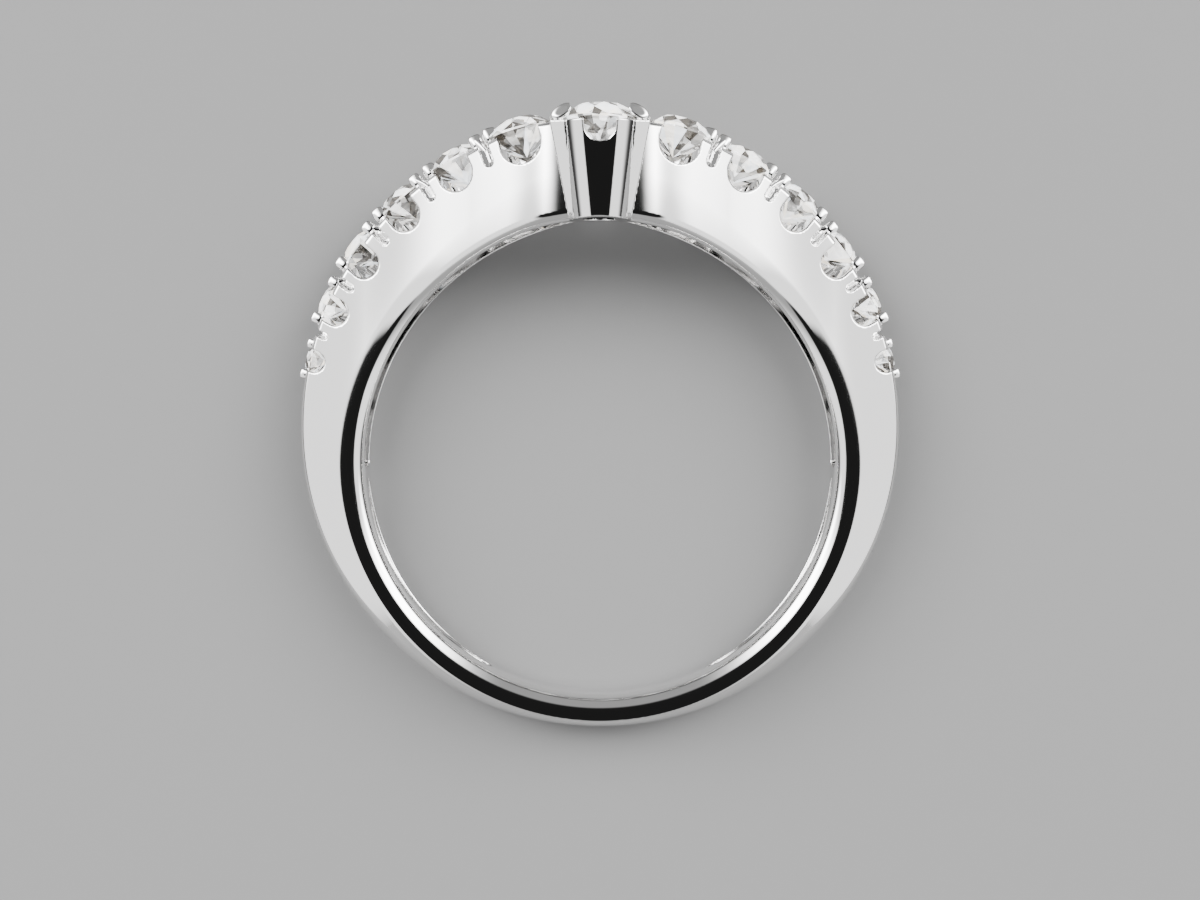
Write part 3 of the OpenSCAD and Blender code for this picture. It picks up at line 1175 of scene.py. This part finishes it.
@dataclass(frozen=True)
class Band:
    """The metal of the ring, as a few meshes that stand for the CAD node.

    Attributes:
        material: The metal's finish.
        pitch: Side of a grid cell, in millimetres.
        most_quads: Most quads in one piece.
        low: Lowest corner of the right half's box.
        high: Its highest corner.
    """

    material: bpy.types.Material
    pitch: float = 0.05
    most_quads: int = 95_000
    low: Point = (0.0, -10.15, -0.25)
    high: Point = (11.3, 13.2, 7.3)

    def build(self) -> None:
        """Meshes the solid and splits it into pieces round the finger."""
        skin = SolidMesher(BandSolid(), self.pitch).mesh(self.low, self.high)
        middle = skin.points[skin.quads].mean(axis=1)
        turn = (np.degrees(np.arctan2(middle[:, 0], middle[:, 1])) + 360) % 360
        count = math.ceil(len(skin.quads) / self.most_quads)
        edges = np.quantile(turn, np.linspace(0, 1, count + 1))
        for i in range(count):
            inside = (turn >= edges[i]) & ((turn < edges[i + 1]) | (i == count - 1))
            self._piece(f"band_part_{i + 1}", skin, skin.quads[inside])

    def _piece(self, name: str, skin: Skin, quads: Array) -> None:
        """Makes one piece.

        Args:
            name: Its name.
            skin: The whole mesh.
            quads: The quads that the piece holds.
        """
        used, inverse = np.unique(quads, return_inverse=True)
        faces = inverse.reshape(quads.shape)
        piece = mesh_object(name, skin.points[used] * MM, faces, self.material)
        mesh = piece.data
        mesh.polygons.foreach_set("use_smooth", np.ones(len(mesh.polygons), bool))
        mesh.normals_split_custom_set_from_vertices(skin.normals[used].tolist())
        declare(piece)


@dataclass(frozen=True)
class SideClaws:
    """The claws of the side stones, four to a stone.

    In each gap two stems stand side by side, in front and behind, and each ends in one block-shaped
    bead. The stems are polylines with a radius at each point. One node group sweeps them and sets
    the beads on their tips.

    Attributes:
        material: The metal's finish.
        lean: Turn of a claw from the band's direction round its stone, in degrees.
        steps: Straight stretches of a stem.
        radius: What every claw's radius has, whatever its stone.
        radius_share: What it gains with the stone's diameter.
        root_taper: Share of the radius that is missing at the root.
        clear: Distance of a bead's middle from the stone's edge.
        last_out: How far the root stands out where there is no next stone.
        apart: Distance of a root from the middle of its gap, as a share of the radius.
        root_v: Height of the root over the stone's girdle.
        tip_v: Height of the bead's middle over it.
        hidden_tip_v: The same for the first stones' upper claws, which the collet hides.
        curve: Power that bends the stem over to the bead.
        sides: Sides of a stem.
        bead_lean: Tilt of a bead, in degrees.
        bead_detail: Subdivisions of a bead.
        bead_width: Width of a bead over the claw's radius.
        bead_height: Height of a bead over the claw's radius.
        bead_crease: Sharpness of a bead's edges.
    """

    material: bpy.types.Material
    lean: float = 28.0
    steps: int = 6
    radius: float = 0.07
    radius_share: float = 0.06
    root_taper: float = 0.2
    clear: float = 0.05
    last_out: float = 0.05
    apart: float = 0.85
    root_v: float = -0.4
    tip_v: float = 0.12
    hidden_tip_v: float = -0.45
    curve: float = 1.6
    sides: int = 24
    bead_lean: float = 9.0
    bead_detail: int = 3
    bead_width: float = 1.4
    bead_height: float = 1.5
    bead_crease: float = 0.28

    def build(self) -> None:
        """Makes the claws of both arms as one piece."""
        paths = self._paths()
        modifier = paths.modifiers.new("claws", "NODES")
        modifier.node_group = self._group()
        settings = {
            "Sides": self.sides,
            "Bead Detail": self.bead_detail,
            "Bead Width": self.bead_width,
            "Bead Height": self.bead_height,
            "Material": self.material,
        }
        for item in modifier.node_group.interface.items_tree:
            if item.item_type == "SOCKET" and item.in_out == "INPUT" and item.name in settings:
                modifier[item.identifier] = settings[item.name]
        bpy.context.view_layer.update()
        evaluated = paths.evaluated_get(bpy.context.evaluated_depsgraph_get())
        result = bpy.data.meshes.new_from_object(evaluated)
        paths.modifiers.remove(modifier)
        bpy.data.objects.remove(paths)
        result.name = "side_claws"
        piece = bpy.data.objects.new("side_claws", result)
        bpy.context.scene.collection.objects.link(piece)
        declare(piece)

    def _paths(self) -> bpy.types.Object:
        """Makes the stems' polylines, with the numbers that the node group reads at each point.

        Returns:
            An object that holds them.
        """
        points, edges = [], []
        marks = {"radius_m": [], "tip": [], "turn": [], "lean": []}
        steps = self.steps
        for index, side, face, mirror in product(range(len(SEATS)), Side, Face, (1, -1)):
            path, radius = self._stem(index, side, face)
            start = len(points)
            points.extend(path * np.array([mirror, 1, 1]) * MM)
            edges.extend((start + i, start + i + 1) for i in range(steps))
            taper = [1 - self.root_taper + self.root_taper * i / steps for i in range(steps + 1)]
            marks["radius_m"].extend(radius * share * MM for share in taper)
            marks["tip"].extend([0.0] * steps + [1.0])
            marks["turn"].extend([-mirror * math.radians(SEATS[index].angle)] * (steps + 1))
            marks["lean"].extend([-face.value * math.radians(self.bead_lean)] * (steps + 1))
        mesh = bpy.data.meshes.new("claw_paths")
        mesh.from_pydata([tuple(point) for point in points], edges, [])
        for name, values in marks.items():
            layer = mesh.attributes.new(name, "FLOAT", "POINT")
            layer.data.foreach_set("value", np.array(values, np.float32))
        paths = bpy.data.objects.new("claw_paths", mesh)
        bpy.context.scene.collection.objects.link(paths)
        return paths

    def _stem(self, index: int, side: Side, face: Face) -> Tuple[Array, float]:
        """Points of one claw from its root to its bead.

        Args:
            index: Number of the stone that the claw holds, from the head.
            side: The stone's side that the claw is on.
            face: The face of the ring that it is on.

        Returns:
            The points and the claw's radius.
        """
        seat = SEATS[index]
        neighbor = index + side.value
        other = SEATS[neighbor] if 0 <= neighbor < len(SEATS) else None
        lean = math.radians(self.lean)
        reach = seat.diameter / 2 + self.clear
        radius = self.radius_share * seat.diameter + self.radius
        tip_u, tip_w = side.value * reach * math.cos(lean), face.value * reach * math.sin(lean)
        if other:
            gap = math.radians(abs(other.angle - seat.angle)) * seat.girdle
            root_u = side.value * (gap * 0.5 - self.apart * radius)
        else:
            root_u = side.value * (reach * math.cos(lean) + self.last_out)
        tip_v = self.tip_v if other or side is Side.FOOT else self.hidden_tip_v
        path = []
        for i in range(self.steps + 1):
            share = i / self.steps
            u = root_u + (tip_u - root_u) * share**self.curve
            v = self.root_v + (tip_v - self.root_v) * share
            path.append(self._in_ring(seat, u, v, tip_w))
        return np.array(path), radius

    @staticmethod
    def _in_ring(seat: Seat, u: float, v: float, w: float) -> Point:
        """Moves a point of a seat's frame to the ring's, at its height on the chevron.

        Args:
            seat: The seat.
            u, v, w: The point.

        Returns:
            Its x, y and z.
        """
        ox, oy, _ = Place(seat.angle, seat.girdle).xyz
        c, s = math.cos(math.radians(seat.angle)), math.sin(math.radians(seat.angle))
        x, y = ox + u * c + v * s, oy - u * s + v * c
        return x, y, float(Hoop.middle(np.array([x]), np.array([y]))[0]) + w

    def _group(self) -> bpy.types.GeometryNodeTree:
        """Makes the node group that sweeps the stems and sets beads on their tips.

        Returns:
            The group, its sizes as named inputs.
        """
        group = bpy.data.node_groups.new("claws_with_beads", "GeometryNodeTree")
        for name, kind in (
            ("Geometry", "Geometry"),
            ("Sides", "Int"),
            ("Bead Detail", "Int"),
            ("Bead Width", "Float"),
            ("Bead Height", "Float"),
            ("Material", "Material"),
        ):
            group.interface.new_socket(name, in_out="INPUT", socket_type=f"NodeSocket{kind}")
        group.interface.new_socket("Geometry", in_out="OUTPUT", socket_type="NodeSocketGeometry")
        tree = Nodes(group)
        source = tree.node("NodeGroupInput")
        given = {socket.name: Wire(tree, socket) for socket in source.outputs}

        def mark(name: str) -> Wire:
            """A number that each point of the polylines carries."""
            number = {"data_type": "FLOAT"}
            return tree.use("GeometryNodeInputNamedAttribute", "Attribute", number, Name=name)

        radius = mark("radius_m")
        curve = tree.use("GeometryNodeMeshToCurve", "Curve", Mesh=given["Geometry"])
        ring = tree.use(
            "GeometryNodeCurvePrimitiveCircle", "Curve", Resolution=given["Sides"], Radius=1.0
        )
        stems = tree.use(
            "GeometryNodeCurveToMesh",
            "Mesh",
            Curve=curve,
            Profile_Curve=ring,
            Fill_Caps=True,
            Scale=radius,
        )
        block = tree.use("GeometryNodeMeshCube", "Mesh", Size=(2.0, 2.0, 2.0))
        bead = tree.use(
            "GeometryNodeSubdivisionSurface",
            "Mesh",
            Mesh=block,
            Level=given["Bead Detail"],
            Edge_Crease=self.bead_crease,
        )
        size = tree.use(
            "ShaderNodeCombineXYZ",
            "Vector",
            X=radius * given["Bead Width"],
            Y=radius * given["Bead Height"],
            Z=radius,
        )
        turn = tree.use("ShaderNodeCombineXYZ", "Vector", X=mark("lean"), Z=mark("turn"))
        more = {"data_type": "FLOAT", "operation": "GREATER_THAN"}
        is_tip = tree.use("FunctionNodeCompare", "Result", more, A=mark("tip"), B=0.5)
        tips = tree.use(
            "GeometryNodeMeshToPoints", "Points", Mesh=given["Geometry"], Selection=is_tip
        )
        beads = tree.use(
            "GeometryNodeInstanceOnPoints",
            "Instances",
            Points=tips,
            Instance=bead,
            Rotation=turn,
            Scale=size,
        )
        join = tree.node("GeometryNodeJoinGeometry")
        for part in (stems, beads):
            tree.feed(join.inputs["Geometry"], part)
        claws = Wire(tree, join.outputs["Geometry"])
        for kind in ("GeometryNodeRealizeInstances", "GeometryNodeSetShadeSmooth"):
            claws = tree.use(kind, "Geometry", Geometry=claws)
        claws = tree.use(
            "GeometryNodeSetMaterial", "Geometry", Geometry=claws, Material=given["Material"]
        )
        tree.feed(tree.node("NodeGroupOutput").inputs["Geometry"], claws)
        return group


@dataclass(frozen=True)
class Stones:
    """The cut stones, which keep their CAD facets and get the finish with painted reflections."""

    material: bpy.types.Material

    def build(self) -> None:
        """Gives every stone node the material."""
        for name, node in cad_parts.items():
            if name.endswith("_stone") or "_stone_" in name:
                node.data.materials.clear()
                node.data.materials.append(self.material)


@dataclass(frozen=True)
class SoftLight:
    """The studio's light, which the world gives.

    A direction has a height and a turn to the head, from -1 at the foot to 1. A range says between
    which values of the one or the other a light sets in or fades.

    Attributes:
        least: Light from every side.
        fill: Soft light from the foot.
        more_fill: What is added to it away from the foot, over foot_range.
        head_shade: Share of the soft light that is missing at the head.
        low_fill: Share of the soft light at the horizon.
        key: Strong light from the head's side, between key_start and key_end.
        key_bend: How far its start moves to the head at the top, over key_bend_range.
        rise: Heights over which the light sets in.
        foot_lift: How much lower it sets in on the foot's side.
        zenith: Heights over which it fades to the dark right above.
        zenith_bend: How much higher it fades on the head's side.
        seen: Light of the background itself.
        axis_room: Keeps the turn's divisor above 0.
    """

    least: float = 0.015
    fill: float = 0.5
    more_fill: float = 1.5
    foot_range: Range = (-1.0, -0.5)
    head_shade: float = 0.8
    head_shade_range: Range = (0.78, 0.92)
    low_fill: float = 0.02
    key: float = 14.0
    key_start: Range = (0.0, 0.42)
    key_end: Range = (0.62, 0.86)
    key_bend: float = 0.2
    key_bend_range: Range = (0.5, 0.85)
    rise: Range = (0.05, 0.42)
    foot_lift: float = 0.3
    foot_lift_range: Range = (0.1, 0.5)
    zenith: Range = (0.845, 0.92)
    zenith_bend: float = 0.065
    zenith_bend_range: Range = (0.12, 0.3)
    seen: float = 0.9
    axis_room: float = 0.0001

    def build(self) -> None:
        """Makes the world and gives it to the scene."""
        world = bpy.data.worlds.new("studio")
        bpy.context.scene.world = world
        world.use_nodes = True
        shader = Nodes(world.node_tree)
        parts = shader.node("ShaderNodeSeparateXYZ")
        shader.feed(parts.inputs["Vector"], shader.use("ShaderNodeTexCoord", "Generated"))
        x, y, height = (Wire(shader, parts.outputs[name]) for name in "XYZ")
        headward = y / shader.math("SQRT", x * x + y * y + self.axis_room)
        edge = headward - self.key_bend * height.smoothstep(*self.key_bend_range)
        key = edge.smoothstep(*self.key_start) * (1.0 - headward.smoothstep(*self.key_end))
        fill = self.fill + self.more_fill * headward.smoothstep(*self.foot_range)
        fill = fill * (1.0 - self.head_shade * headward.smoothstep(*self.head_shade_range))
        lift = height + self.foot_lift * (0.0 - headward).smoothstep(*self.foot_lift_range)
        lift = lift.smoothstep(*self.rise)
        lift = lift * lift
        top = height - self.zenith_bend * headward.smoothstep(*self.zenith_bend_range)
        below_top = 1.0 - top.smoothstep(*self.zenith)
        soft = fill * (self.low_fill + (1 - self.low_fill) * lift)
        level = self.least + (soft + self.key * key * lift * lift) * below_top
        seen = Wire(shader, shader.node("ShaderNodeLightPath").outputs["Is Camera Ray"])
        level = level + seen * (self.seen - level)
        white = (1, 1, 1, 1)
        light = shader.use("ShaderNodeBackground", "Background", Color=white, Strength=level)
        shader.feed(shader.node("ShaderNodeOutputWorld").inputs["Surface"], light)


@dataclass(frozen=True)
class Studio:
    """The floor, the light and the camera of the photograph.

    Attributes:
        light: The light.
        floor_half: Half the floor's side, in metres.
        floor_z: Height of the floor, in metres, just clear of the ring's flat back.
        camera_height: Height of the camera, in millimetres.
        camera_y: How far it stands to the head from the finger's axis, in millimetres.
        focal_pixels: Its focal length in pixels of an image of image_width.
        sensor_width: Width of its sensor, in millimetres.
        clip: Nearest and farthest distance that it sees, in metres.
    """

    light: SoftLight = SoftLight()
    floor_half: float = 1.0
    floor_z: float = -0.00001
    camera_height: float = 96.25
    camera_y: float = 0.39
    focal_pixels: float = 2546.0
    image_width: float = 1200.0
    sensor_width: float = 36.0
    clip: Range = (0.001, 10.0)

    def build(self) -> None:
        """Makes the floor, the light and the camera."""
        self._floor()
        self.light.build()
        self._camera()

    def _floor(self) -> None:
        """Makes the floor, which isn't part of the ring."""
        half = self.floor_half
        corner_signs = ((-1, -1), (1, -1), (1, 1), (-1, 1))
        points = np.array([(half * x, half * y, self.floor_z) for x, y in corner_signs])
        mesh_object("floor", points, np.array([[0, 1, 2, 3]]), FloorFinish().make())

    def _camera(self) -> None:
        """Makes the camera, which looks down along the finger."""
        data = bpy.data.cameras.new("camera")
        data.sensor_width = self.sensor_width
        data.lens = self.focal_pixels / self.image_width * self.sensor_width
        data.clip_start, data.clip_end = self.clip
        camera = bpy.data.objects.new("camera", data)
        camera.location = Vector((0, self.camera_y, self.camera_height)) * MM
        bpy.context.scene.collection.objects.link(camera)
        bpy.context.scene.camera = camera


def main() -> None:
    """Builds the looks round the frame."""
    logging.basicConfig(level=logging.INFO, format="%(name)s: %(message)s")
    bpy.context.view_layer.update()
    metal = MetalFinish().make()
    Band(metal).build()
    SideClaws(metal).build()
    Stones(StoneFinishWithPaintedSparkle().make()).build()
    Studio().build()


if __name__ == "__main__":
    main()
